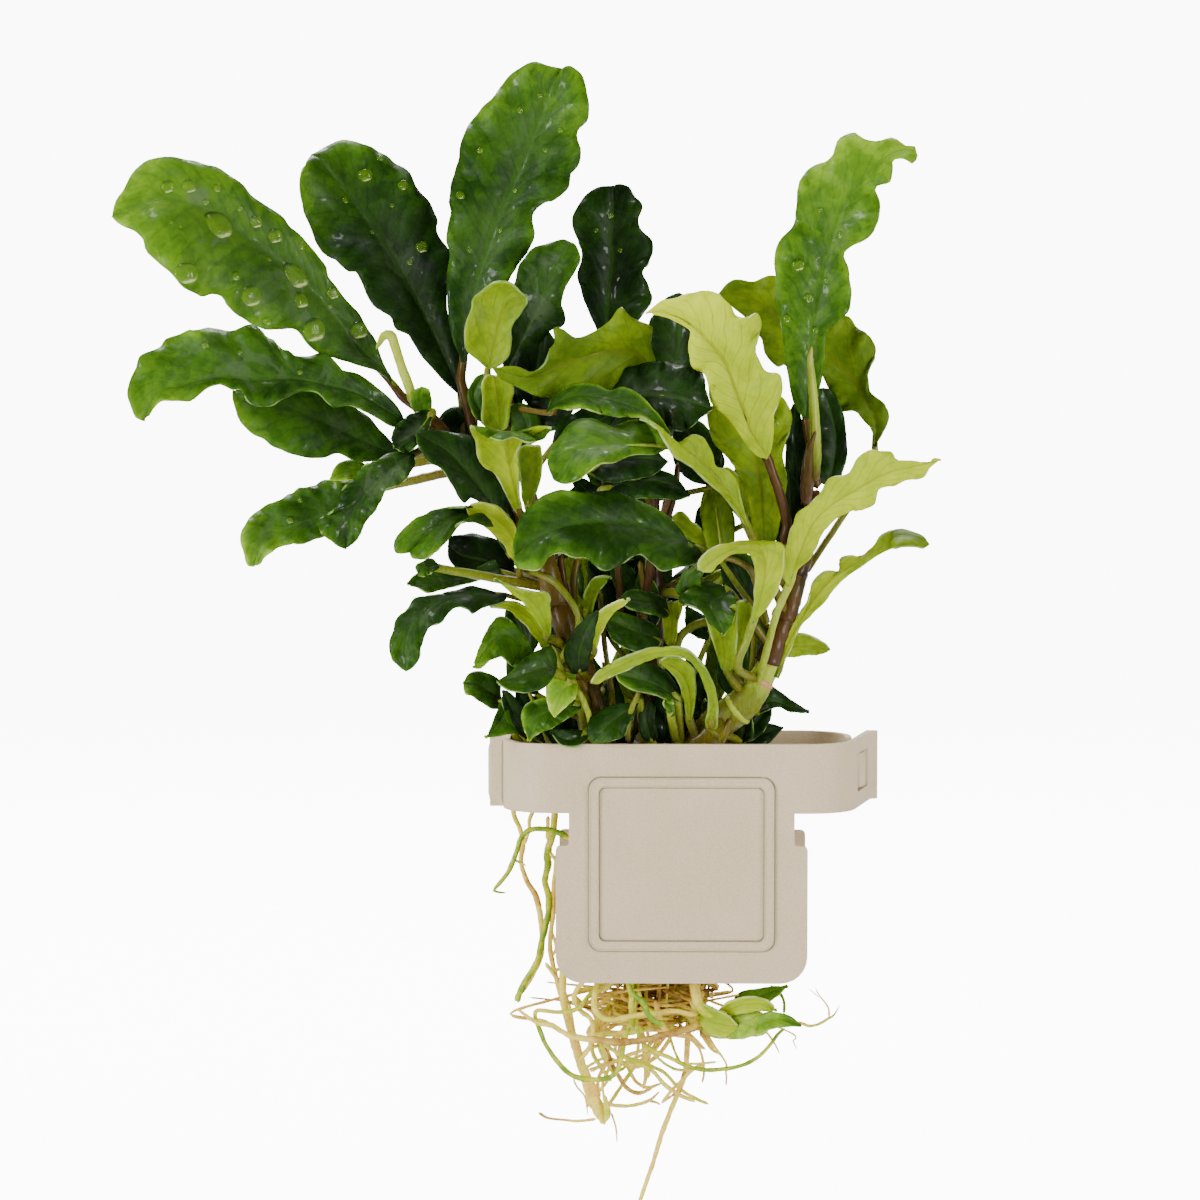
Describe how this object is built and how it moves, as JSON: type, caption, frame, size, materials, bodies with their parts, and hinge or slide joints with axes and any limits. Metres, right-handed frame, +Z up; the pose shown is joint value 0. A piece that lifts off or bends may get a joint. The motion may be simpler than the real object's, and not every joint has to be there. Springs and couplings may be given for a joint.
{
  "type": "aquarium plant in clip holder",
  "caption": "Wavy-leaved aquarium plant with creeping rhizome and bare roots, held upright in a hinged two-half plastic clip holder.",
  "frame": {"origin": "middle of the holder, level with the underside of its collar, where the two notches that it hangs by begin", "axes": "+Z up along the plant, -Y towards the front plate with the raised border, +X towards the latch arm"},
  "size_m": [0.1485, 0.0676, 0.2144],
  "materials": {
    "holder": "matte warm grey-beige moulded plastic",
    "leaf_dark": "wet glossy dark green leaf",
    "leaf_light": "satin yellow-green leaf underside",
    "young_leaf": "satin fresh yellow-green",
    "stem": "satin olive to red-brown stem",
    "root": "cream to yellow-green root",
    "root_mat": "brown matted roots"
  },
  "bodies": {
    "back": {"holder_back": "holder", "root_crown": "root_mat", "rhizome": "stem", "stem_right": "stem", "stem_left": "stem", "stem_far_left": "stem", "stem_centre": "stem", "side_shoot": "young_leaf", "spear_right": "young_leaf", "spear_left": "young_leaf", "root_outer_left": "root", "root_green_left": "root", "root_inner_left": "root", "root_thick_left": "root", "root_loop": "root", "root_long_arc": "root", "root_straight": "root", "leaf_far_left": "leaf_dark", "leaf_left_wavy": "leaf_dark", "leaf_left_dark_low": "leaf_dark", "leaf_left_lower": "leaf_dark", "leaf_left_drooping": "leaf_dark", "leaf_upper_left_dark": "leaf_dark", "leaf_tall_left": "leaf_dark", "leaf_behind_tall": "leaf_dark", "leaf_cupped_yellow": "leaf_light", "leaf_folded_centre": "leaf_dark", "leaf_left_dark_glossy": "leaf_dark", "leaf_dark_edge": "leaf_dark", "leaf_veined_underside": "leaf_light", "leaf_dark_textured": "leaf_dark", "leaf_back_dark": "leaf_dark", "leaf_front_dark": "leaf_dark", "leaf_dark_glossy_basal": "leaf_dark", "leaf_pale_large": "leaf_light", "leaf_twisted": "leaf_light", "leaf_tall_right": "leaf_dark", "leaf_behind_right_pale": "leaf_light", "leaf_right_back": "leaf_light", "leaf_right_dark": "leaf_dark", "leaf_right_pale_long": "leaf_light", "leaf_right_long": "leaf_light", "leaf_pale_folded": "leaf_light", "leaf_small_right": "leaf_dark", "leaf_low_right_dark": "leaf_dark", "leaf_left_arched": "leaf_dark", "leaf_left_thin": "leaf_dark", "leaf_left_hanging": "leaf_dark", "leaf_pale_pointed": "leaf_light", "leaf_left_yellowgreen": "leaf_light", "leaf_dark_cup": "leaf_dark", "leaf_left_round": "leaf_dark", "leaf_left_rim": "leaf_dark", "leaf_yellow_edge": "leaf_light", "leaf_dark_basal": "leaf_dark", "leaf_arched_pale": "leaf_light", "leaf_pale_arch_right": "leaf_light", "leaf_dark_right_centre": "leaf_dark", "leaf_shoot": "young_leaf"},
    "front": {"holder_front": "holder"}
  },
  "joints": [
    {"name": "clip_hinge", "type": "hinge", "parent": "back", "child": "front", "pos_m": [-0.0353, 0, 0.0063], "axis": [0, 0, -1], "range_deg": [0, 100]}
  ]
}
